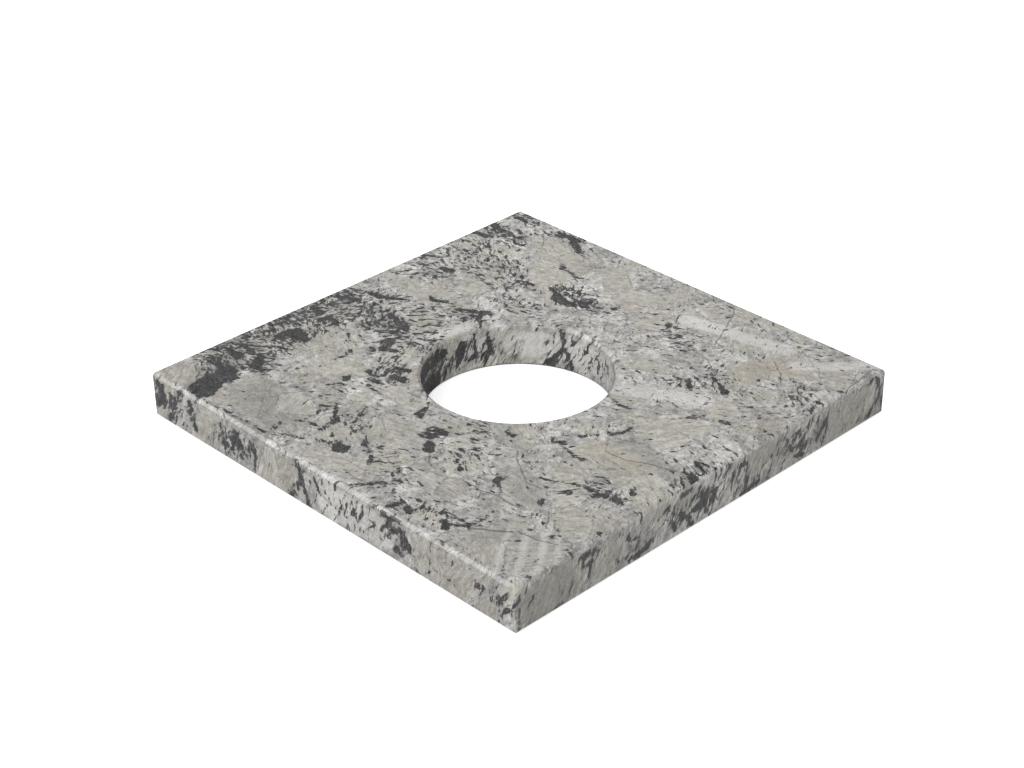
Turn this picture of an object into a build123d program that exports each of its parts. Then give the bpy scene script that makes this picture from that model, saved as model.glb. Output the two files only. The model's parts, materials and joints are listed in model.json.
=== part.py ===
from build123d import *
import os

# A square slab of polished granite with one round cut-out through its middle.
# It is a single piece of stone. Every edge is broken by the same narrow flat
# arris: around the top, around the underside, down the four corners and around
# both rims of the cut-out.
#
# Frame: the origin is the centre of the underside and +Z points up, out of the
# polished top. X and Y are square to the sides. Lengths are in millimetres.

# Driving dimensions
side = 304.8  # a 12 inch square
thickness = 29.5  # stock sold as 3 cm slab
cutout_radius = 57.15  # cut with a 4 1/2 inch core drill
arris = 1.8  # width of the 45 degree arris, measured along each face

with BuildPart() as granite_slab:
    with BuildSketch(Plane.XY):
        Rectangle(side, side)
    extrude(amount=thickness)

    # The core drill goes right through, square to the top.
    Hole(radius=cutout_radius)

    # The upright edges are the four corners and the seam of the cut-out's round
    # wall. The seam is nearer the axis and isn't a real edge, so it is left out.
    flat_face_edges = granite_slab.faces().filter_by(Axis.Z).edges()
    upright_edges = granite_slab.edges().filter_by(Axis.Z)
    corner_edges = upright_edges.group_by(SortBy.DISTANCE)[-1]
    chamfer(flat_face_edges + corner_edges, length=arris)

granite_slab.part.label = "granite_slab"

os.makedirs("parts", exist_ok=True)
export_step(granite_slab.part, "parts/granite_slab.step")

stone = granite_slab.part
print(f"granite_slab: {stone.volume / 1000:.1f} cm3, valid {stone.is_valid}")
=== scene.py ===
import json
import math
from types import SimpleNamespace

import bmesh
import bpy
from mathutils import Matrix, Vector


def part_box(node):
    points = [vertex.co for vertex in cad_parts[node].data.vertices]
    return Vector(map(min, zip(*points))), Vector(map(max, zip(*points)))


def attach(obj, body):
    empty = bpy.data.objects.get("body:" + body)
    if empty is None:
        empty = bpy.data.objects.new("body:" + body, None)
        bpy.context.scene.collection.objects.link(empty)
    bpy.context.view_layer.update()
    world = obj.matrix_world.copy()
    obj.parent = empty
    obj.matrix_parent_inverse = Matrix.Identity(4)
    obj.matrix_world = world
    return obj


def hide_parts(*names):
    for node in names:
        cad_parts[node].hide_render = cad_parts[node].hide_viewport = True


# One square slab of polished granite with a round cut-out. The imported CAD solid
# gives every size; this script builds the finely edged stone that is shown in
# its place, the granite itself, and a plain pale studio around it.

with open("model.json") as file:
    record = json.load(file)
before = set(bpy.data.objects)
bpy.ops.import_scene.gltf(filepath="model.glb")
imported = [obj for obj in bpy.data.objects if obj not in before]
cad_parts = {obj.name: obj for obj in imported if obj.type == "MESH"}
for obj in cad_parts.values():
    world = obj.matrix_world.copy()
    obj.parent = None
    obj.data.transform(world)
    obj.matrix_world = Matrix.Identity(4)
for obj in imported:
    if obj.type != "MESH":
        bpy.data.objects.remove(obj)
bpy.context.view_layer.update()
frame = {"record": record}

# ---------------------------------------------------------------- sizes (metres)

LOW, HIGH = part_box("granite_slab")
HALF = (HIGH.x - LOW.x) / 2  # from the middle of the slab to a side
THICK = HIGH.z - LOW.z
CUTOUT = next(m for m in frame["record"]["mounts"] if m["name"] == "round_cutout")
RIM = CUTOUT["dims"]["r_mm"] / 1000  # radius of the cut-out
ARRIS = (THICK - CUTOUT["dims"]["length_mm"] / 1000) / 2  # width of each chamfer

EASE = 0.00025  # radius that softens the two edges of every arris
PER_SIDE = 72  # points along each side of the square
FLAT_SPANS = 14  # rings between the outer edge and the cut-out on a flat face
WALL_SPANS = 8  # rings up a side face or up the cut-out's wall

QUARTER = math.pi / 2  # a quarter turn, from one side of the slab to the next

MM = 1000.0  # the granite's own coordinates are in millimetres
HALF_MM, RIM_MM, ARRIS_MM = HALF * MM, RIM * MM, ARRIS * MM


# ---------------------------------------------------------------- the slab's mesh

def arris_steps(width, ease, steps=3):
    """One arris as (inset, drop) pairs, from the side face to the top face.

    The chamfer is flat, and its two long edges are eased by a small radius, as
    hand polishing leaves them."""
    turn = QUARTER / 2
    set_back = ease * math.tan(turn / 2)
    points = []
    for i in range(steps + 1):  # from the upright face onto the chamfer
        a = turn * i / steps
        points.append((ease * (1 - math.cos(a)), width + set_back - ease * math.sin(a)))
    for inset, drop in reversed(points[:]):  # from the chamfer onto the flat face
        points.append((drop, inset))
    return points


def square_ring(bm, inset, z):
    """A ring of points round the outside of the slab, its corners cut by the arris.

    The four upright arrises run out to a point halfway up the top and bottom ones."""
    a = HALF - inset
    cut = max(ARRIS - 2 * inset, EASE / 2)
    run = a - cut
    ring = []
    for side in range(4):
        turn = Matrix.Rotation(side * QUARTER, 3, "Z")
        for step in range(PER_SIDE + 1):
            t = -run + 2 * run * step / PER_SIDE
            at = turn @ Vector((a, t, 0))
            ring.append(bm.verts.new((at.x, at.y, z)))
    return ring


def round_point(side, step, radius):
    """A point of a ring round the cut-out, in line with its fellow in square_ring."""
    t = -1 + 2 * (step + 0.5) / (PER_SIDE + 1)
    angle = side * QUARTER + t * QUARTER / 2
    return Vector((math.cos(angle), math.sin(angle), 0)) * radius


def round_ring(bm, radius, z):
    """A ring of points round the cut-out."""
    ring = []
    for side in range(4):
        for step in range(PER_SIDE + 1):
            at = round_point(side, step, radius)
            ring.append(bm.verts.new((at.x, at.y, z)))
    return ring


def flat_rings(bm, z, outer_inset, inner_radius):
    """The rings that carry a flat face from its outer edge to the cut-out's rim."""
    rings = []
    a = HALF - outer_inset
    for k in range(1, FLAT_SPANS):
        ring = []
        for side in range(4):
            turn = Matrix.Rotation(side * QUARTER, 3, "Z")
            for step in range(PER_SIDE + 1):
                outer = turn @ Vector((a, a * (-1 + 2 * step / PER_SIDE), 0))
                at = outer.lerp(round_point(side, step, inner_radius), k / FLAT_SPANS)
                ring.append(bm.verts.new((at.x, at.y, z)))
        rings.append(ring)
    return rings


def build_slab():
    """The stone as one closed skin: rings swept once round the slab's section."""
    bm = bmesh.new()
    arris = arris_steps(ARRIS, EASE)
    face_inset, edge_drop = arris[-1][0], arris[0][1]
    wall_top, wall_low = THICK - edge_drop, edge_drop
    rings = []
    for inset, drop in arris:
        rings.append(square_ring(bm, inset, THICK - drop))
    rings += flat_rings(bm, THICK, face_inset, RIM + face_inset)
    for inset, drop in reversed(arris):
        rings.append(round_ring(bm, RIM + inset, THICK - drop))
    for k in range(1, WALL_SPANS):
        z = wall_top + (wall_low - wall_top) * k / WALL_SPANS
        rings.append(round_ring(bm, RIM, z))
    for inset, drop in arris:
        rings.append(round_ring(bm, RIM + inset, drop))
    rings += reversed(flat_rings(bm, 0.0, face_inset, RIM + face_inset))
    for inset, drop in reversed(arris):
        rings.append(square_ring(bm, inset, drop))
    for k in range(1, WALL_SPANS):
        z = wall_low + (wall_top - wall_low) * k / WALL_SPANS
        rings.append(square_ring(bm, 0.0, z))

    count = len(rings[0])
    for ring, following in zip(rings, rings[1:] + rings[:1]):
        for i in range(count):
            j = (i + 1) % count
            bm.faces.new((ring[i], ring[j], following[j], following[i]))
    bmesh.ops.recalc_face_normals(bm, faces=bm.faces)
    mesh = bpy.data.meshes.new("granite_stone")
    bm.to_mesh(mesh)
    bm.free()
    for face in mesh.polygons:
        face.use_smooth = True
    stone = bpy.data.objects.new("granite_stone", mesh)
    bpy.context.scene.collection.objects.link(stone)
    return stone


# ---------------------------------------------------------------- shader helpers

def material_graph(name):
    material = bpy.data.materials.new(name)
    material.use_nodes = True
    return material, Graph(material.node_tree)


def group_graph(name, inputs, outputs):
    """A node group whose sockets all carry vectors, and the graph to fill it with."""
    tree = bpy.data.node_groups.new(name, "ShaderNodeTree")
    for names, way in ((inputs, "INPUT"), (outputs, "OUTPUT")):
        for socket in names:
            tree.interface.new_socket(socket, in_out=way, socket_type="NodeSocketVector")
    return tree, Graph(tree)


class Graph:
    """Short names for the shader nodes that the granite is worked out with."""

    def __init__(self, tree):
        self.tree = tree
        self.tree.nodes.clear()

    def node(self, kind, inputs=(), **settings):
        made = self.tree.nodes.new(kind)
        for key, value in settings.items():
            setattr(made, key, value)
        for socket, value in dict(inputs).items():
            if isinstance(value, bpy.types.NodeSocket):
                self.tree.links.new(value, made.inputs[socket])
            else:
                made.inputs[socket].default_value = value
        return made

    def math(self, operation, a, b=0.0, c=0.0):
        return self.node("ShaderNodeMath", {0: a, 1: b, 2: c}, operation=operation).outputs[0]

    def vector(self, operation, a, b=(0.0, 0.0, 0.0), c=(0.0, 0.0, 0.0)):
        return self.node("ShaderNodeVectorMath", {0: a, 1: b, 2: c}, operation=operation).outputs[0]

    def length(self, vector):
        made = self.node("ShaderNodeVectorMath", {0: vector}, operation="LENGTH")
        return made.outputs["Value"]

    def scaled(self, vector, amount):
        made = self.node("ShaderNodeVectorMath", {0: vector, "Scale": amount}, operation="SCALE")
        return made.outputs[0]

    def noise(self, at, size, detail=2.0, roughness=0.5, out="Fac"):
        """Noise whose blotches are about as wide as size, in the units of at."""
        inputs = {"Vector": at, "Scale": 1.0 / size, "Detail": detail, "Roughness": roughness}
        return self.node("ShaderNodeTexNoise", inputs).outputs[out]

    def cells(self, at, size, feature="F1"):
        """Voronoi cells about as wide as size, in the units of at; returns the node."""
        inputs = {"Vector": at, "Scale": 1.0 / size}
        return self.node("ShaderNodeTexVoronoi", inputs, feature=feature)

    def step(self, value, low, high):
        """0 below low, 1 above high, and smooth between; low may be the larger."""
        made = self.node(
            "ShaderNodeMapRange",
            {"Value": value, "From Min": low, "From Max": high},
            interpolation_type="SMOOTHSTEP",
        )
        return made.outputs["Result"]

    def spread(self, value, low, high, to_low, to_high):
        """Carries low..high linearly onto to_low..to_high, and holds it there."""
        inputs = {
            "Value": value,
            "From Min": low,
            "From Max": high,
            "To Min": to_low,
            "To Max": to_high,
        }
        return self.node("ShaderNodeMapRange", inputs).outputs["Result"]

    def mix(self, amount, a, b, blend="MIX"):
        made = self.node("ShaderNodeMix", {"Factor": amount}, data_type="RGBA", blend_type=blend)
        for socket, value in ((made.inputs[6], a), (made.inputs[7], b)):
            if isinstance(value, bpy.types.NodeSocket):
                self.tree.links.new(value, socket)
            else:
                socket.default_value = (*value, 1.0)
        return made.outputs[2]

    def xyz(self, x, y, z):
        return self.node("ShaderNodeCombineXYZ", {0: x, 1: y, 2: z}).outputs[0]

    def split(self, vector):
        """The three parts of a vector or of a colour."""
        parts = self.node("ShaderNodeSeparateXYZ", {0: vector}).outputs
        return parts[0], parts[1], parts[2]

    def pick(self, mask, a, b):
        """The vector a where mask is 0 and b where it is 1."""
        made = self.node("ShaderNodeMix", {"Factor": mask}, data_type="VECTOR")
        for socket, value in ((made.inputs[4], a), (made.inputs[5], b)):
            self.tree.links.new(value, socket)
        return made.outputs[1]


# ---------------------------------------------------------------- what the stone shows
#
# Every mark is drawn on one face, in millimetres: a start and an end half
# width, and the points that it runs through. On the top a point is (x, y) from the
# middle of the slab. On the front side it is (x, height), on the right side
# (y, height), and on the wall of the cut-out (degrees round from +X, height).

TOP_STREAKS = [
    # back-left corner and the clots along the back-left edge
    (1.5, 2.2, (-148, 143), (-136, 142)),
    (2.0, 3.0, (-108, 142), (-100, 146), (-92, 145)),
    (3.0, 3.6, (-92, 141), (-80, 135)),
    (2.6, 1.0, (-80, 135), (-71, 131)),
    (2.6, 2.0, (-149, 124), (-138, 121)),
    (1.8, 1.4, (-131, 129), (-121, 126)),
    (2.8, 1.4, (-149, 107), (-136, 110)),
    # the feathered streak behind the cut-out
    (0.6, 2.6, (-79, 117), (-72, 111)),
    (1.8, 1.8, (-72, 111), (-62, 109)),
    (1.8, 0.5, (-60, 108), (-50, 111)),
    # the cluster behind the cut-out
    (1.2, 2.6, (-58, 87), (-47, 82)),
    (4.0, 3.4, (-47, 79), (-36, 79)),
    # drawn-out flecks of the left third
    (0.8, 0.6, (-101, 98), (-92, 96), (-85, 93)),
    (0.8, 1.6, (-80, 80), (-70, 82)),
    (1.6, 2.6, (-128, 58), (-120, 60)),
    (1.0, 1.6, (-141, 41), (-142, 34), (-145, 31)),
    (1.0, 1.8, (-105, 26), (-99, 24), (-91, 29)),
    (1.8, 3.4, (-79, 27), (-70, 32), (-63, 36)),
    (2.6, 1.6, (-66, 34), (-62, 27)),
    (2.2, 1.0, (-67, 27), (-65, 24)),
    (1.6, 2.4, (-134, 3), (-126, 4)),
    (2.0, 1.2, (-126, 4), (-114, 11)),
    # solid knots in the dense dark band along the left side
    (1.8, 2.2, (-146, -14), (-132, -9)),
    (1.6, 2.2, (-105, -6), (-92, -11)),
    (2.2, 2.4, (-146, -34), (-136, -37)),
    (2.6, 2.2, (-128, -36), (-120, -38)),
    (4.4, 5.6, (-131, -72), (-128, -62)),
    (4.0, 2.8, (-124, -62), (-117, -64)),
    (2.0, 2.6, (-140, -94), (-128, -96)),
    (2.6, 3.8, (-121, -95), (-114, -105)),
    (2.6, 3.2, (-140, -104), (-130, -104)),
    (2.4, 3.0, (-132, -118), (-124, -121)),
    # the brown-black clot in the left corner, with a pale inclusion beside it
    (5.6, 8.0, (-121, -119), (-118, -132)),
    (8.0, 6.0, (-118, -134), (-111, -144)),
    (3.4, 2.4, (-121, -143), (-116, -149)),
    (2.4, 1.6, (-112, -122), (-109, -128)),
    # the large clot left of the cut-out and what hangs about it
    (2.0, 4.8, (-80, -24), (-80, -31)),
    (4.6, 3.4, (-80, -31), (-76, -38)),
    (2.8, 1.0, (-75, -37), (-64, -34)),
    (2.4, 1.8, (-81, -43), (-77, -47)),
    (0.8, 0.8, (-105, -41), (-99, -46), (-91, -43)),
    (1.8, 1.6, (-88, -53), (-85, -60), (-87, -66)),
    (2.6, 2.2, (-66, -75), (-64, -78)),
    # between the large clot and the cut-out
    (1.6, 2.8, (-54, -48), (-46, -46)),
    (2.6, 3.6, (-47, -56), (-39, -54)),
    (2.6, 1.8, (-62, -62), (-57, -63)),
    (2.4, 2.2, (-54, -67), (-49, -66)),
    (1.8, 0.5, (-49, -73), (-36, -75)),
    # in front of the cut-out
    (0.4, 3.4, (-10, -61), (-5, -73)),
    (3.0, 0.6, (-5, -74), (2, -77)),
    (1.2, 2.0, (-33, -90), (-28, -97)),
    (0.8, 1.8, (-48, -99), (-40, -106)),
    (1.8, 2.8, (-39, -107), (-34, -111)),
    (2.8, 0.8, (-34, -111), (-31, -131)),
    (1.0, 1.8, (-50, -127), (-38, -122)),
    (1.0, 2.2, (-9, -111), (-3, -117)),
    (1.6, 2.2, (-25, -131), (-18, -129)),
    (3.2, 5.0, (-15, -126), (-9, -129)),
    (3.6, 3.4, (12, -79), (19, -78)),
    (4.2, 3.4, (14, -86), (18, -84)),
    (3.0, 3.4, (22, -91), (26, -95)),
    (0.9, 1.8, (7, -120), (14, -128)),
    (1.2, 2.4, (23, -149), (30, -139), (34, -134)),
    # the big oval crystal in the front-left corner
    (1.4, 2.4, (-55, -134), (-52, -141)),
    (0.7, 1.0, (-101, -150), (-78, -148), (-54, -147)),
    (1.0, 0.6, (-54, -147), (-43, -141), (-31, -136)),
    # right of the cut-out, towards the front
    (1.0, 2.0, (41, -47), (43, -53), (49, -52)),
    (0.8, 2.2, (48, -91), (53, -97)),
    (0.6, 3.2, (77, -84), (75, -89)),
    (2.0, 0.7, (76, -91), (82, -94), (87, -100)),
    (2.4, 2.2, (61, -142), (64, -144)),
    (1.8, 2.2, (55, -142), (52, -148)),
    (2.2, 2.6, (84, -137), (88, -140)),
    (1.4, 2.2, (89, -136), (94, -132)),
    (1.8, 0.6, (95, -131), (97, -120), (95, -112)),
    # the string of clots towards the right corner
    (0.9, 1.8, (90, 0), (90, -8), (85, -13)),
    (1.0, 1.8, (83, -18), (79, -22), (76, -27)),
    (0.8, 2.2, (66, -37), (69, -41), (75, -38)),
    (1.0, 1.8, (77, -41), (84, -42), (90, -44)),
    (1.6, 0.8, (91, -43), (96, -42), (103, -40)),
    (1.2, 2.4, (133, -41), (136, -48)),
    (0.9, 2.0, (109, -51), (114, -48), (119, -50)),
    (0.5, 1.2, (90, -72), (98, -69), (110, -63)),
    (1.8, 2.6, (114, -61), (119, -61)),
    (1.6, 3.0, (121, -66), (127, -60)),
    (1.4, 3.2, (131, -57), (135, -60)),
    (0.6, 2.6, (105, -77), (111, -72)),
    (2.4, 1.2, (106, -87), (109, -91)),
    # right-hand edge
    (0.9, 1.5, (141, -1), (152, 1)),
    (2.4, 4.2, (145, -13), (151, -16)),
    # the quieter back-right quarter
    (1.0, 2.4, (110, 37), (106, 31)),
    (2.2, 1.6, (122, 40), (126, 41)),
    (0.8, 1.4, (80, 78), (90, 72)),
    (1.4, 2.6, (94, 70), (102, 66)),
    (1.8, 2.2, (78, 61), (83, 57)),
    (2.2, 1.8, (25, 104), (27, 101)),
    (0.9, 1.2, (62, 15), (69, 13), (76, 14)),
]

FRONT_STREAKS = [
    (2.0, 3.4, (-150, 26), (-143, 23), (-142, 15)),
    (3.2, 2.0, (-142, 14), (-148, 12)),
    (2.6, 1.6, (-136, 6), (-140, 3)),
    (3.0, 2.0, (-124, 27), (-126, 22)),
    (2.4, 1.6, (-116, 23), (-114, 20)),
    (1.2, 2.2, (-112, 18), (-112, 8)),
    (1.0, 1.4, (-78, 9), (-72, 20), (-70, 28)),
    (0.7, 0.9, (-58, 3), (-56, 13), (-54, 22)),
    (1.8, 2.6, (-19, 29), (-16, 21), (-15, 15)),
    (2.0, 3.8, (-17, 15), (-25, 3)),
    (1.9, 2.2, (-14, 14), (-10, 3)),
    (0.8, 1.5, (-5, 26), (0, 15)),
    (0.6, 0.6, (36, 7), (46, 17)),
    (2.0, 1.8, (53, 27), (58, 26)),
    (2.0, 2.0, (60, 28), (65, 28)),
    (1.2, 2.0, (61, 20), (65, 23)),
    (1.0, 2.6, (70, 23), (72, 15)),
    (0.4, 0.4, (84, 3), (92, 11), (104, 10), (112, 6)),
    (1.0, 2.8, (120, 12), (125, 18)),
    (2.2, 1.2, (125, 18), (129, 18)),
]

RIGHT_STREAKS = [
    (1.3, 1.3, (-150, 2), (-150, 24)),
    (1.0, 1.0, (-126, 2), (-117, 3)),
    (2.2, 1.8, (-103, 24), (-93, 23)),
    (1.4, 1.7, (-103, 18), (-97, 18)),
    (1.7, 0.8, (-98, 17), (-100, 6)),
    (1.2, 0.6, (-81, 13), (-77, 7), (-70, 8)),
    (1.3, 0.6, (-70, 19), (-68, 17), (-61, 16)),
    (1.4, 2.0, (-68, 5), (-61, 4), (-54, 7)),
    (1.2, 1.4, (-46, 19), (-41, 22), (-38, 24)),
    (1.8, 1.2, (-34, 10), (-32, 6)),
    (2.0, 1.8, (-28, 26), (-20, 26)),
    (1.8, 1.7, (-27, 14), (-22, 8)),
    (1.8, 1.5, (-21, 4), (-18, 3)),
    (2.2, 2.4, (-17, 12), (-9, 12)),
    (2.2, 1.8, (-9, 13), (-12, 23)),
    (1.5, 1.4, (-6, 6), (-5, 3)),
    (2.0, 1.7, (11, 27), (8, 22)),
    (1.4, 1.5, (20, 23), (27, 22)),
    (1.2, 1.0, (28, 20), (26, 10)),
    (1.2, 1.2, (22, 3), (38, 5)),
    (1.0, 1.2, (41, 13), (48, 17)),
    (0.9, 1.0, (60, 22), (67, 12)),
    (1.5, 1.2, (71, 22), (73, 20)),
    (1.0, 1.0, (81, 28), (79, 20), (73, 12)),
    (1.5, 1.4, (70, 8), (77, 5)),
    (0.8, 0.8, (99, 23), (97, 14), (94, 4)),
    (0.8, 0.8, (132, 27), (143, 28)),
    (1.8, 1.8, (143, 27), (147, 20), (147, 14)),
    (1.7, 2.5, (145, 12), (135, 3)),
    (1.5, 1.5, (150, 13), (151, 3)),
]

WALL_MARKS_AND_PAINTED_SHADE = [
    # Painted shade: the two wide bands from 194 to 226 degrees lay solid dark over the shaded
    # stretch of the wall, on top of the dark flecks crowded there.
    (6.0, 6.0, (226, 7), (196, 7)),
    (6.0, 5.0, (226, 21), (194, 22)),
    (0.5, 0.6, (164, 26), (162, 12)),
    (1.2, 1.8, (154, 25), (152, 10)),
    (1.7, 2.6, (109, 29), (106, 22), (105.5, 15)),
    (2.0, 3.6, (107.5, 14), (115, 3)),
    (2.0, 2.0, (104.5, 14), (100.5, 3)),
]

# Thin grey seams on the top that follow the edges of the crystals.
TOP_SEAMS = [
    (0.5, 0.7, (97, -132), (108, -125), (116, -119)),
    (0.5, 0.3, (118, -116), (129, -115), (141, -110)),
    (0.3, 0.4, (96, -28), (112, -26), (127, -19), (138, -16)),
    (0.3, 0.3, (116, -92), (127, -104)),
    (0.3, 0.5, (104, -100), (84, -101), (74, -104)),
    (0.4, 0.3, (98, -79), (88, -80), (72, -71), (62, -62)),
    (0.4, 0.3, (-116, 138), (-109, 131), (-103, 124)),
    (0.3, 0.4, (-28, -62), (-18, -61)),
    (0.3, 0.3, (37, 92), (70, 88), (84, 78)),
    (0.3, 0.4, (147, 147), (149, 132), (150, 120)),
    (0.3, 0.3, (100, 113), (112, 104), (118, 97)),
    (0.3, 0.3, (42, 145), (52, 128), (62, 104)),
    (0.4, 0.3, (-140, -129), (-131, -134), (-124, -133)),
    (0.4, 0.4, (20, -88), (32, -100), (40, -106)),
    (0.3, 0.3, (8, -141), (24, -142)),
]

# Wide tints, whiter, tanner and greyer than the stone round them: half width, points.
TOP_PALE = [
    (5.0, (112, 118), (142, 147)),
    (2.0, (128, -106), (150, -134)),
    (1.7, (121, -113), (146, -146)),
    (1.5, (136, -104), (152, -122)),
    (1.4, (112, -116), (134, -150)),
    (7.0, (56, 26), (100, 50)),
    (6.0, (30, 116), (96, 128)),
    (5.0, (-60, 14), (-66, -14)),
]
FRONT_PALE = [
    (11.0, (8, 14), (46, 14)),
]
WALL_PALE = [
    (9.0, (136, 15), (112, 15)),
    (9.0, (98, 15), (66, 15)),
]
TOP_TAN = [
    (11.0, (96, 92), (110, 112)),
    (7.0, (138, 44), (146, 60)),
    (8.0, (92, -30), (118, -30)),
    (6.0, (-6, 100), (10, 118)),
]
TOP_GREY = [
    (12.0, (34, -52), (100, -88)),
    (9.0, (90, -112), (110, -128)),
    (16.0, (-92, -124), (-62, -128)),
    (6.0, (128, 60), (138, 58)),
    (5.0, (-70, 124), (-52, 128)),
    (7.0, (112, -122), (146, -108)),
    (6.0, (20, -128), (60, -122)),
    (10.0, (96, -10), (146, -20)),
    (9.0, (10, -92), (34, -106)),
    (12.0, (-138, -100), (-124, -138)),
    (9.0, (-66, -84), (-50, -104)),
]
RIGHT_GREY = [
    (14.0, (-148, 14), (-122, 14)),
]

# Where dark flecks crowd together, and where they are strewn: half width and points.
TOP_CROWDED = [
    (10, (-142, -8), (-142, -118)),
    (7, (-124, -12), (-120, -108)),
    (9, (-150, -12), (-92, -14)),
    (9, (-150, -34), (-122, -40)),
    (11, (-150, -62), (-124, -70)),
    (9, (-150, -84), (-126, -88)),
    (8, (-148, -104), (-112, -104)),
    (8, (-150, -116), (-118, -116)),
    (8, (-104, -22), (-90, -20)),
    (7, (-150, 122), (-122, 116)),
    (6, (-150, 146), (-132, 144)),
    (4, (-112, 144), (-90, 147)),
    (7, (-54, 90), (-30, 88)),
    (7, (-62, -46), (-46, -58)),
    (7, (-128, -126), (-114, -144)),
]
TOP_PEPPERED = [
    (16, (-138, 92), (-88, 76)),
    (12, (-146, 66), (-124, 48)),
    (7, (-28, 84), (-14, 92)),
    (8, (-132, 6), (-84, 10)),
    (6, (-96, 26), (-60, 26)),
    (14, (-84, 2), (-68, -20)),
    (6, (-64, -88), (-50, -104)),
    (6, (-30, -104), (-16, -108)),
    (5, (18, -74), (28, -94)),
    (8, (30, -60), (48, -90)),
    (7, (10, -116), (38, -124)),
    (7, (56, -140), (84, -134)),
    (5, (112, -62), (134, -58)),
    (6, (142, 2), (150, -26)),
    (6, (136, 96), (148, 88)),
    (7, (72, 54), (86, 62)),
    (7, (84, 80), (104, 74)),
    (8, (30, 96), (48, 92)),
    (8, (-68, 54), (-46, 60)),
]
FRONT_CROWDED = [
    (7, (-148, 16), (-138, 16)),
    (7, (-84, 14), (-60, 14)),
]
FRONT_PEPPERED = [
    (7, (-130, 14), (-116, 14)),
    (6, (56, 20), (72, 12)),
    (5, (20, 14), (44, 14)),
    (5, (138, 16), (150, 16)),
]
RIGHT_CROWDED = [
    (7, (-32, 14), (-6, 14)),
]
RIGHT_PEPPERED = [
    (7, (4, 16), (24, 14)),
    (8, (58, 16), (92, 14)),
    (4, (-102, 22), (-92, 20)),
    (4, (26, 6), (36, 4)),
    (4, (-66, 6), (-56, 6)),
]
WALL_CROWDED = [
    (9, (222, 15), (196, 15)),
    (8, (188, 15), (176, 15)),
]
WALL_PEPPERED = [
    (7, (168, 14), (154, 12)),
    (6, (92, 14), (68, 14)),
]

# Large quiet feldspar crystals: half width and points.
TOP_CRYSTALS = [
    (14, (-96, 128), (-60, 122)),
    (12, (-80, 100), (-66, 92)),
    (11, (-42, 126), (-24, 112)),
    (6, (-145, 93), (-140, 92)),
    (8, (-114, 40), (-100, 36)),
    (7, (-146, 28), (-124, 26)),
    (13, (-86, -66), (-82, -88)),
    (8, (-104, -56), (-110, -74)),
    (18, (-90, -124), (-60, -128)),
    (7, (-36, -67), (-16, -68)),
    (6, (-44, -84), (-36, -94)),
    (11, (6, -97), (-8, -104)),
    (8, (-18, -142), (16, -136)),
    (8, (-142, -140), (-134, -142)),
    (7, (36, -71), (32, -80)),
    (8, (38, -112), (62, -114)),
    (15, (96, -32), (122, -32)),
    (7, (90, -57), (102, -58)),
    (9, (86, -86), (98, -90)),
    (13, (112, -138), (140, -124)),
    (10, (126, -88), (144, -76)),
    (11, (96, 94), (106, 110)),
    (7, (44, 55), (56, 58)),
    (11, (116, 114), (132, 128)),
    (9, (88, 10), (112, 14)),
    (9, (-14, 112), (0, 124)),
]
FRONT_CRYSTALS = [
    (9, (-104, 16), (-96, 20)),
    (13, (-44, 14), (-32, 14)),
    (13, (86, 15), (104, 15)),
]
RIGHT_CRYSTALS = [
    (13, (-138, 14), (-116, 14)),
    (11, (-88, 12), (-84, 12)),
    (8, (36, 18), (44, 22)),
    (14, (110, 14), (126, 14)),
]
WALL_CRYSTALS = [
    (12, (144, 14), (126, 14)),
    (7, (118, 16), (116, 16)),
]

# ---------------------------------------------------------------- the granite

CRYSTAL = 24.0  # about how wide the feldspar crystals are
CRUMB = 2.2  # about how wide the crumbs are that each mineral breaks up into
LEAN = 0.35  # how far the grain leans sideways for each millimetre of height
UPRIGHT = 0.45  # below 1 draws the grain out upwards
LIE = (math.radians(-60), math.radians(75))  # how far crystals turn the grain
FLAKE_STRETCH = (1.0, 2.1, 1.0)  # above 1 makes mica flakes narrower that way
FIBRE_STRETCH = (1.0, 7.0, 1.0)

# How far the stone's pattern wanders: size of the wander and its reach.
WANDER = (9.0, 1.6)
WOBBLE = (2.6, 0.55)
FRAY = 4.5  # how far the grain frays the outlines of the marks
ZONE_FRAY = 14.0  # and how far the mottling frays those of crowds and crystals

# Noise that the minerals are grown from: size, detail and roughness.
FLAKES = (6.4, 2.0, 0.45)
SMALL_FLAKES = (2.8, 2.0, 0.5)
FIBRES = (9.0, 3.0, 0.6)
FINE = (0.9, 2.0, 0.6)
MOTTLE = (3.6, 4.0, 0.62)
PATCHES = (12.0, 2.0, 0.5)
BROAD = (95.0, 1.0, 0.5)

# Screen colours (0 to 255) that each mineral runs between.
WARM_FELDSPAR = ((152, 149, 141), (203, 199, 190))
WHITE_FELDSPAR = ((164, 161, 156), (213, 211, 207))
QUARTZ = ((144, 142, 139), (190, 188, 184))
BLACK_MICA = ((106, 105, 104), (70, 70, 71))  # from thin to thick
BROWN_MICA = ((114, 109, 106), (82, 78, 77))
SMOKE = (128, 126, 123)  # quartz with mica showing through
THIN_LINE = (104, 102, 100)
# Painted reflection: the light grey that the mica on the right sides is paled towards, as the white
# floor would show in its polish.
FLOOR_REFLECTION_PAINT = (150, 150, 148)
RIGHT_REFLECTION_PAINT = 0.16  # how far a painted reflection of the white floor pales the mica on the right sides

# A tint's colour and strength, and how far outside its outline it starts and is full.
TINTS = {
    "grey": ((136, 136, 133), 0.35, 3.0, -5.0),
    "tan": ((180, 171, 156), 0.50, 3.0, -5.0),
    "pale": ((214, 212, 208), 0.72, 1.5, -2.0),
}

# What a flake's noise has to pass for mica to show, and what moves that bar.
LARGE_BAR = {
    "start": 0.632, "strewn": -0.084, "crowded": -0.120,
    "calm": 0.045, "marked": -0.21, "cream": 0.025,
}
SMALL_BAR = {
    "start": 0.660, "strewn": -0.090, "crowded": -0.170,
    "calm": 0.035, "marked": -0.25, "cream": 0.030,
}

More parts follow.
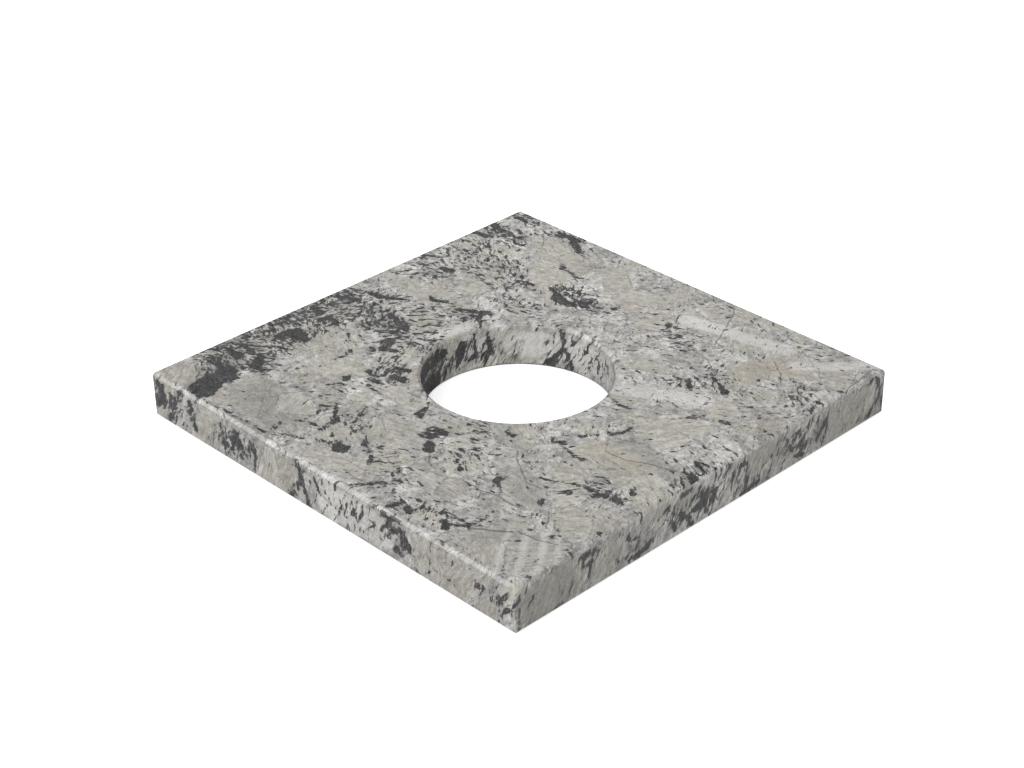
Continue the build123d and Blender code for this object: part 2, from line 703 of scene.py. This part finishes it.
# The faces lie side by side, so far apart in v that no mark reaches another face.
FACE_GAP = 1000.0
FACE_SHIFT = {"top": 0.0, "front": FACE_GAP, "right": 2 * FACE_GAP, "wall": 3 * FACE_GAP}


def gathered(**faces):
    """All the faces' marks in one plane, where each face has its own stretch of v."""
    moved = []
    for face, marks in faces.items():
        for mark in marks:
            points = [(u, v + FACE_SHIFT[face]) for u, v in ends(mark)]
            moved.append((*widths(mark), *points))
    return moved


def widths(mark):
    """The half widths of a mark, which come before its points."""
    return [part for part in mark if not isinstance(part, tuple)]


def ends(mark):
    """The points of a mark, which follow its half widths."""
    return [part for part in mark if isinstance(part, tuple)]


def unrolled(g, here):
    """Lays the slab's faces side by side: (u, v) in millimetres on each of them.

    The two hidden sides and the underside carry the same drawing turned round."""
    x, y, z = g.split(here)
    edge = HALF_MM - ARRIS_MM / 2
    on_wall = g.math("LESS_THAN", g.length(g.xyz(x, y, 0.0)), RIM_MM + ARRIS_MM / 2)
    on_front = g.math("GREATER_THAN", g.math("ABSOLUTE", y), edge)
    on_right = g.math("GREATER_THAN", g.math("ABSOLUTE", x), edge)
    below = g.math("LESS_THAN", z, ARRIS_MM / 2)
    along_front = g.math("MULTIPLY", x, g.math("SIGN", g.math("MULTIPLY", y, -1.0)))
    along_right = g.math("MULTIPLY", y, g.math("SIGN", x))
    round_wall = g.math("DEGREES", g.math("ARCTAN2", y, x))
    round_wall = g.math("FLOORED_MODULO", round_wall, 360.0)
    place = g.xyz(x, y, 0.0)
    place = g.pick(below, place, g.xyz(y, x, 0.0))
    for face, mask, u in (
        ("right", on_right, along_right),
        ("front", on_front, along_front),
        ("wall", on_wall, round_wall),
    ):
        height = g.math("ADD", z, FACE_SHIFT[face])
        place = g.pick(mask, place, g.xyz(u, height, 0.0))
    return place


def spans(marks):
    """Each mark as straight spans: start, end, and half width at either end."""
    for mark in marks:
        points = ends(mark)
        first, last = widths(mark)[0], widths(mark)[-1]
        for i, (start, end) in enumerate(zip(points, points[1:])):
            low = first + (last - first) * i / (len(points) - 1)
            high = first + (last - first) * (i + 1) / (len(points) - 1)
            yield start, end, low, high


TRIO_INPUTS = ("u", "v", "k", "x0", "y0", "along_x", "along_y", "dx", "dy", "taper", "low")


def span_trio():
    """A node group: how far a point lies outside three spans, one in each vector part.

    D is how far the point is from the span's line and R the half width there. Lengths
    come in times k, which is 1 / sqrt(2 R), so D * D - R * R comes out close to D - R."""
    tree, g = group_graph("span_trio", (*TRIO_INPUTS, "found"), ("found",))
    given = g.node("NodeGroupInput").outputs
    from_x = g.vector("MULTIPLY_ADD", given["u"], given["k"], given["x0"])
    from_y = g.vector("MULTIPLY_ADD", given["v"], given["k"], given["y0"])
    share = g.vector("MULTIPLY", from_x, given["along_x"])
    share = g.vector("MULTIPLY_ADD", from_y, given["along_y"], share)
    share = g.vector("MAXIMUM", share, (0.0, 0.0, 0.0))
    share = g.vector("MINIMUM", share, (1.0, 1.0, 1.0))
    off_x = g.vector("MULTIPLY_ADD", share, given["dx"], from_x)
    off_y = g.vector("MULTIPLY_ADD", share, given["dy"], from_y)
    apart = g.vector("MULTIPLY", off_x, off_x)
    apart = g.vector("MULTIPLY_ADD", off_y, off_y, apart)
    width = g.vector("MULTIPLY_ADD", share, given["taper"], given["low"])
    outside = g.vector("SUBTRACT", apart, g.vector("MULTIPLY", width, width))
    found = g.vector("MINIMUM", given["found"], outside)
    g.node("NodeGroupOutput", {"found": found})
    return tree


def nearest(g, trio, u, v, marks):
    """About how far (millimetres) a point lies outside the nearest of the marks."""
    lanes = []
    for (x0, y0), (x1, y1), low, high in spans(marks):
        k = math.sqrt(1 / (low + high))
        dx, dy = x1 - x0, y1 - y0
        run = max(dx * dx + dy * dy, 1e-6)
        lanes.append((
            k, -k * x0, -k * y0,
            dx / run / k, dy / run / k, -k * dx, -k * dy,
            k * (high - low), k * low,
        ))
    lanes += [lanes[-1]] * (-len(lanes) % 3)
    found = (99.0, 99.0, 99.0)
    for i in range(0, len(lanes), 3):
        values = (u, v, *zip(*lanes[i:i + 3]))
        inputs = dict(zip(TRIO_INPUTS, values), found=found)
        found = g.node("ShaderNodeGroup", inputs, node_tree=trio).outputs[0]
    a, b, c = g.split(found)
    return g.math("MINIMUM", g.math("MINIMUM", a, b), c)


def srgb(red, green, blue):
    """A colour read as 0..255 screen values, as the linear light a shader wants."""
    def linear(value):
        share = value / 255
        return share / 12.92 if share <= 0.04045 else ((share + 0.055) / 1.055) ** 2.4
    return linear(red), linear(green), linear(blue)


def warped(g, at, size, reach):
    """The point at, pushed about by noise of the given size, up to reach millimetres."""
    push = g.noise(at, size, 2.0, 0.5, out="Color")
    push = g.vector("SUBTRACT", push, (0.5, 0.5, 0.5))
    return g.vector("ADD", at, g.scaled(push, 2 * reach))


def between(g, share, colours):
    """The first screen colour where share is 0, and the second where it is 1."""
    first, second = colours
    return g.mix(share, srgb(*first), srgb(*second))


def swung(g, start, *swings):
    """The start value, moved up and down by each field about its middle value."""
    value = start
    for field, swing in swings:
        value = g.math("MULTIPLY_ADD", g.math("SUBTRACT", field, 0.5), swing, value)
    return value


def shaded(g, colour, shade):
    """The colour made darker or paler by the shade."""
    return g.mix(1.0, colour, g.xyz(shade, shade, shade), "MULTIPLY")


def drawn(g, here, at):
    """How far each kind of mark in the drawing is, bent like the grain round it."""
    bent = g.vector("SUBTRACT", at, here)
    place = g.vector("ADD", unrolled(g, here), bent)
    u, v, _ = g.split(place)
    on_right = g.math("COMPARE", v, FACE_SHIFT["right"], FACE_GAP / 5)
    u, v = g.xyz(u, u, u), g.xyz(v, v, v)
    trio = span_trio()
    kinds = {
        "marks": gathered(
            top=TOP_STREAKS, front=FRONT_STREAKS, right=RIGHT_STREAKS, wall=WALL_MARKS_AND_PAINTED_SHADE
        ),
        "seams": gathered(top=TOP_SEAMS),
        "crowded": gathered(
            top=TOP_CROWDED, front=FRONT_CROWDED, right=RIGHT_CROWDED, wall=WALL_CROWDED
        ),
        "strewn": gathered(
            top=TOP_PEPPERED, front=FRONT_PEPPERED, right=RIGHT_PEPPERED, wall=WALL_PEPPERED
        ),
        "pale": gathered(top=TOP_PALE, front=FRONT_PALE, wall=WALL_PALE),
        "tan": gathered(top=TOP_TAN),
        "grey": gathered(top=TOP_GREY, right=RIGHT_GREY),
        "crystals": gathered(
            top=TOP_CRYSTALS, front=FRONT_CRYSTALS, right=RIGHT_CRYSTALS, wall=WALL_CRYSTALS
        ),
    }
    found = {kind: nearest(g, trio, u, v, marks) for kind, marks in kinds.items()}
    return SimpleNamespace(on_right=on_right, **found)


def grown(g, at):
    """The stone itself: its crystals, and the noise that its minerals come from.

    The grain leans and stands upright in the slab, and turns from crystal to crystal."""
    x, y, z = g.split(at)
    lean = g.math("MULTIPLY", z, LEAN)
    upright = g.math("MULTIPLY", z, UPRIGHT)
    grain = g.xyz(g.math("SUBTRACT", x, lean), g.math("SUBTRACT", y, lean), upright)
    chance, kind, value = g.split(g.cells(grain, CRYSTAL).outputs["Color"])
    border = g.cells(grain, CRYSTAL, "DISTANCE_TO_EDGE").outputs["Distance"]
    crumb, _, _ = g.split(g.cells(grain, CRUMB).outputs["Color"])
    turn = g.spread(chance, 0.0, 1.0, *LIE)
    turned = g.node(
        "ShaderNodeVectorRotate", {"Vector": grain, "Angle": turn}, rotation_type="Z_AXIS"
    )
    lie = turned.outputs[0]
    drawn_out = g.vector("MULTIPLY", lie, FLAKE_STRETCH)
    mottle = g.noise(grain, *MOTTLE)
    return SimpleNamespace(
        kind=kind,
        value=value,
        crumb=crumb,
        border=g.math("MULTIPLY", border, CRYSTAL),
        flakes=g.noise(drawn_out, *FLAKES),
        small_flakes=g.noise(drawn_out, *SMALL_FLAKES),
        fibres=g.noise(g.vector("MULTIPLY", lie, FIBRE_STRETCH), *FIBRES),
        fine=g.noise(grain, *FINE),
        mottle=mottle,
        fray=g.math("MULTIPLY", g.math("SUBTRACT", mottle, 0.5), ZONE_FRAY),
        patches=g.noise(grain, *PATCHES),
        broad=g.noise(at, *BROAD),
    )


def ground_colour(g, stone, drawing, calm, cream):
    """Warm feldspar, white feldspar and grey quartz, with the tints laid over them."""
    cloudy = g.math("MULTIPLY_ADD", stone.fibres, 0.6, g.math("MULTIPLY", stone.mottle, 0.4))
    warm = between(g, g.step(cloudy, 0.30, 0.70), WARM_FELDSPAR)
    white = between(g, g.step(stone.mottle, 0.30, 0.66), WHITE_FELDSPAR)
    quartz = between(g, g.step(stone.mottle, 0.32, 0.68), QUARTZ)
    ground = g.mix(g.step(stone.patches, 0.42, 0.56), quartz, white)
    ground = g.mix(cream, ground, warm)
    ground = g.mix(g.math("MULTIPLY", calm, 0.88), ground, warm)
    fray = g.math("MULTIPLY", stone.fray, 0.4)
    for kind, (colour, strength, outer, inner) in TINTS.items():
        tinted = g.step(g.math("ADD", getattr(drawing, kind), fray), outer, inner)
        ground = g.mix(g.math("MULTIPLY", tinted, strength), ground, srgb(*colour))
    shade = swung(
        g, 1.0, (stone.crumb, 0.16), (stone.fine, 0.70), (stone.broad, 0.30), (stone.value, 0.24)
    )
    return shaded(g, ground, shade)


def raised_bar(g, weights, pulls):
    """The bar's start value, moved by each pull (0 to 1) times its weight."""
    value = weights["start"]
    for name, pull in pulls.items():
        value = g.math("MULTIPLY_ADD", pull, weights[name], value)
    return value


def mica(g, field, bar):
    """Where the field passes the bar: (how much mica shows, how deep it is)."""
    over = g.math("SUBTRACT", field, bar)
    return g.step(over, -0.010, 0.014), g.step(over, 0.0, 0.09)


def mica_cover(g, stone, drawing, calm, cream):
    """How much mica shows, how deep it is, and how near the larger flakes are."""
    pulls = {
        "strewn": g.step(g.math("ADD", drawing.strewn, stone.fray), 5.0, -4.0),
        "crowded": g.step(g.math("ADD", drawing.crowded, stone.fray), 5.0, -4.0),
        "calm": calm,
        "marked": g.step(swung(g, drawing.marks, (stone.fibres, FRAY)), 0.5, -0.9),
        "cream": cream,
    }
    large_bar = raised_bar(g, LARGE_BAR, pulls)
    large, large_depth = mica(g, stone.flakes, large_bar)
    small, small_depth = mica(g, stone.small_flakes, raised_bar(g, SMALL_BAR, pulls))
    shown = g.math("MAXIMUM", large, g.math("MULTIPLY", small, 0.92))
    depth = g.math("MAXIMUM", large_depth, small_depth)
    near = g.step(g.math("SUBTRACT", stone.flakes, large_bar), -0.10, 0.0)
    return shown, depth, near


def smoked(g, ground, stone, drawing, near_flake):
    """The ground, darker round the mica, which shows through the quartz there."""
    near_mark = g.step(g.math("MULTIPLY_ADD", stone.fray, 0.3, drawing.marks), 3.0, -0.5)
    by_mark = g.math("MULTIPLY", near_mark, 0.20)
    by_flake = g.math("MULTIPLY", near_flake, 0.18)
    return g.mix(g.math("MAXIMUM", by_mark, by_flake), ground, srgb(*SMOKE))


def lined(g, ground, stone, drawing):
    """The ground with its thin lines: drawn seams, hairs along the fibres, and cracks."""
    seam = g.step(swung(g, drawing.seams, (stone.fine, 1.2)), 0.5, -0.2)
    hair = g.step(g.math("ABSOLUTE", g.math("SUBTRACT", stone.fibres, 0.52)), 0.014, 0.004)
    hair = g.math("MULTIPLY", hair, g.step(stone.patches, 0.50, 0.58))
    crack = g.step(swung(g, stone.border, (stone.fine, 1.5)), 0.55, 0.15)
    crack = g.math("MULTIPLY", crack, g.step(stone.patches, 0.44, 0.54))
    lines = g.math("MULTIPLY", seam, 0.75)
    for line, strength in ((hair, 0.35), (crack, 0.45)):
        lines = g.math("MAXIMUM", lines, g.math("MULTIPLY", line, strength))
    return g.mix(lines, ground, srgb(*THIN_LINE))


def mica_colour(g, stone, drawing, depth):
    """Black mica, brown in places, made lighter or darker flake by flake as a painted glint, and
    paled on the right sides by a painted reflection of the floor.
    """
    brown = g.step(stone.patches, 0.54, 0.66)
    dark = g.mix(brown, between(g, depth, BLACK_MICA), between(g, depth, BROWN_MICA))
    # Painted glint: the mica's colour is made lighter or darker flake by flake.
    dark = shaded(g, dark, swung(g, 1.0, (stone.fine, 3.2), (stone.mottle, 1.2)))
    # Painted reflection: on the right sides the mica is paled towards light grey, as if it mirrored
    # the white floor.
    return g.mix(g.math("MULTIPLY", drawing.on_right, RIGHT_REFLECTION_PAINT), dark, srgb(*FLOOR_REFLECTION_PAINT))


def polish(g, here, stone, shown):
    """Roughness that shifts with the minerals, and a surface that isn't quite flat."""
    stone_gloss = g.spread(stone.mottle, 0.3, 0.7, 0.16, 0.24)
    roughness = g.math("MULTIPLY_ADD", shown, 0.07, stone_gloss)
    pits = g.math("MULTIPLY", g.step(stone.fine, 0.66, 0.80), -0.5)
    height = g.math("MULTIPLY_ADD", g.noise(here, 30.0, 1.0), 0.6, pits)
    relief = g.node("ShaderNodeBump", {"Strength": 0.25, "Distance": 0.00005, "Height": height})
    return roughness, relief.outputs[0]


def granite():
    """Polished granite, worked out in three dimensions from the stone itself."""
    material, g = material_graph("granite")
    here = g.scaled(g.node("ShaderNodeTexCoord").outputs["Object"], MM)
    at = warped(g, warped(g, here, *WANDER), *WOBBLE)
    drawing = drawn(g, here, at)
    stone = grown(g, at)

    inside = g.step(stone.border, 1.0, 4.5)
    cream = g.math("MULTIPLY", g.step(stone.kind, 0.50, 0.54), inside)
    calm = g.step(g.math("ADD", stone.fray, drawing.crystals), 2.0, -1.5)
    shown, depth, near_flake = mica_cover(g, stone, drawing, calm, cream)
    colour = ground_colour(g, stone, drawing, calm, cream)
    colour = smoked(g, colour, stone, drawing, near_flake)
    colour = lined(g, colour, stone, drawing)
    colour = g.mix(shown, colour, mica_colour(g, stone, drawing, depth))

    roughness, normal = polish(g, here, stone, shown)
    surface = g.node(
        "ShaderNodeBsdfPrincipled",
        {"Base Color": colour, "Roughness": roughness, "Normal": normal, "IOR": 1.5},
    )
    g.node("ShaderNodeOutputMaterial", {"Surface": surface.outputs[0]})
    return material


# ---------------------------------------------------------------- studio

PAPER_FIBRE = 0.004  # metres
PAPER_SEEN = ((0.88, 0.88, 0.88), (0.92, 0.92, 0.92))
PAPER_BOUNCE = ((0.40, 0.40, 0.40), (0.44, 0.44, 0.44))
PAPER_GLOW = 0.6


def floor_material():
    """A pale paper sweep on a light table: white to look at, and a dim reflector."""
    material, g = material_graph("studio_paper")
    here = g.node("ShaderNodeTexCoord").outputs["Object"]
    fibre = g.noise(here, PAPER_FIBRE, 3.0, 0.6)
    paper = g.node("ShaderNodeBsdfDiffuse", {"Color": g.mix(fibre, *PAPER_SEEN)}).outputs[0]
    glow = g.node("ShaderNodeEmission", {"Strength": PAPER_GLOW}).outputs[0]
    seen = g.node("ShaderNodeAddShader", {0: paper, 1: glow}).outputs[0]
    bounce = g.node("ShaderNodeBsdfDiffuse", {"Color": g.mix(fibre, *PAPER_BOUNCE)}).outputs[0]
    looked_at = g.node("ShaderNodeLightPath").outputs["Is Camera Ray"]
    both = g.node("ShaderNodeMixShader", {0: looked_at, 1: bounce, 2: seen})
    g.node("ShaderNodeOutputMaterial", {"Surface": both.outputs[0]})
    return material


def add_floor():
    """A wide sheet of the paper, a hair's breadth under the stone."""
    bm = bmesh.new()
    bmesh.ops.create_grid(bm, x_segments=8, y_segments=8, size=6.0)
    mesh = bpy.data.meshes.new("floor")
    bm.to_mesh(mesh)
    bm.free()
    floor = bpy.data.objects.new("floor", mesh)
    floor.location.z = LOW.z - 0.0002
    floor.data.materials.append(floor_material())
    bpy.context.scene.collection.objects.link(floor)


def add_softbox(name, direction, distance, size, power, mirrored=True):
    """A square area light that looks at the middle of the slab.

    One that isn't mirrored lights the stone but leaves no reflection in its polish."""
    light = bpy.data.lights.new(name, "AREA")
    light.shape = "SQUARE"
    light.size = size
    light.energy = power
    lamp = bpy.data.objects.new(name, light)
    towards = Vector(direction).normalized()
    lamp.location = towards * distance
    lamp.rotation_euler = towards.to_track_quat("Z", "Y").to_euler()
    lamp.visible_glossy = mirrored
    lamp.visible_camera = False
    bpy.context.scene.collection.objects.link(lamp)


def add_world(strength):
    """Dim light from all round. Looked at directly, it is as pale as the floor."""
    world = bpy.data.worlds.new("studio")
    world.use_nodes = True
    g = Graph(world.node_tree)
    dim = {"Color": (0.97, 0.985, 1.0, 1.0), "Strength": strength}
    pale = {"Color": (1.0, 1.0, 1.0, 1.0), "Strength": 1.0}
    light = g.node("ShaderNodeBackground", dim).outputs[0]
    seen = g.node("ShaderNodeBackground", pale).outputs[0]
    looked_at = g.node("ShaderNodeLightPath").outputs["Is Camera Ray"]
    both = g.node("ShaderNodeMixShader", {0: looked_at, 1: light, 2: seen})
    g.node("ShaderNodeOutputWorld", {"Surface": both.outputs[0]})
    bpy.context.scene.world = world


# The camera's place is measured in degrees and in sides of the slab.
CAMERA_TURN = 45.82  # round from facing the front side towards the right side
CAMERA_HEIGHT = 30.58  # above the level
CAMERA_ROLL = -0.62
CAMERA_AWAY = 4.1135
AIM_RIGHT, AIM_DOWN = 0.0125, 0.0578  # where the slab's foot lies from the view's middle
CAMERA_LENS, CAMERA_SENSOR = 74.4, 36.0  # millimetres


def add_camera():
    """The camera looks down on one corner of the slab."""
    turn, height, roll = (
        math.radians(angle) for angle in (CAMERA_TURN, CAMERA_HEIGHT, CAMERA_ROLL)
    )
    back = Vector((
        math.sin(turn) * math.cos(height),
        -math.cos(turn) * math.cos(height),
        math.sin(height),
    ))
    right = Vector((math.cos(turn), math.sin(turn), 0.0))
    down = right.cross(back)
    right, down = (
        right * math.cos(roll) - down * math.sin(roll),
        right * math.sin(roll) + down * math.cos(roll),
    )
    side = 2 * HALF
    place = (back * CAMERA_AWAY - right * AIM_RIGHT - down * AIM_DOWN) * side
    camera = bpy.data.cameras.new("camera")
    camera.lens = CAMERA_LENS
    camera.sensor_width = CAMERA_SENSOR
    eye = bpy.data.objects.new("camera", camera)
    axes = Matrix((right, -down, back)).transposed().to_4x4()
    eye.matrix_world = Matrix.Translation(place) @ axes
    bpy.context.scene.collection.objects.link(eye)
    bpy.context.scene.camera = eye


stone = build_slab()
stone.data.materials.append(granite())
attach(stone, "root")
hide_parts("granite_slab")

add_floor()
add_softbox("key", (-0.617, -0.509, 0.60), 2.4, 1.53, 20.0)
add_softbox("fill", (0.53, -0.64, 0.56), 6.0, 4.6, 300.0, mirrored=False)
add_softbox("overhead", (-0.58, 0.50, 0.64), 0.75, 0.7, 2.55, mirrored=False)
add_world(0.19)
add_camera()

view = bpy.context.scene.view_settings
view.view_transform = "Standard"
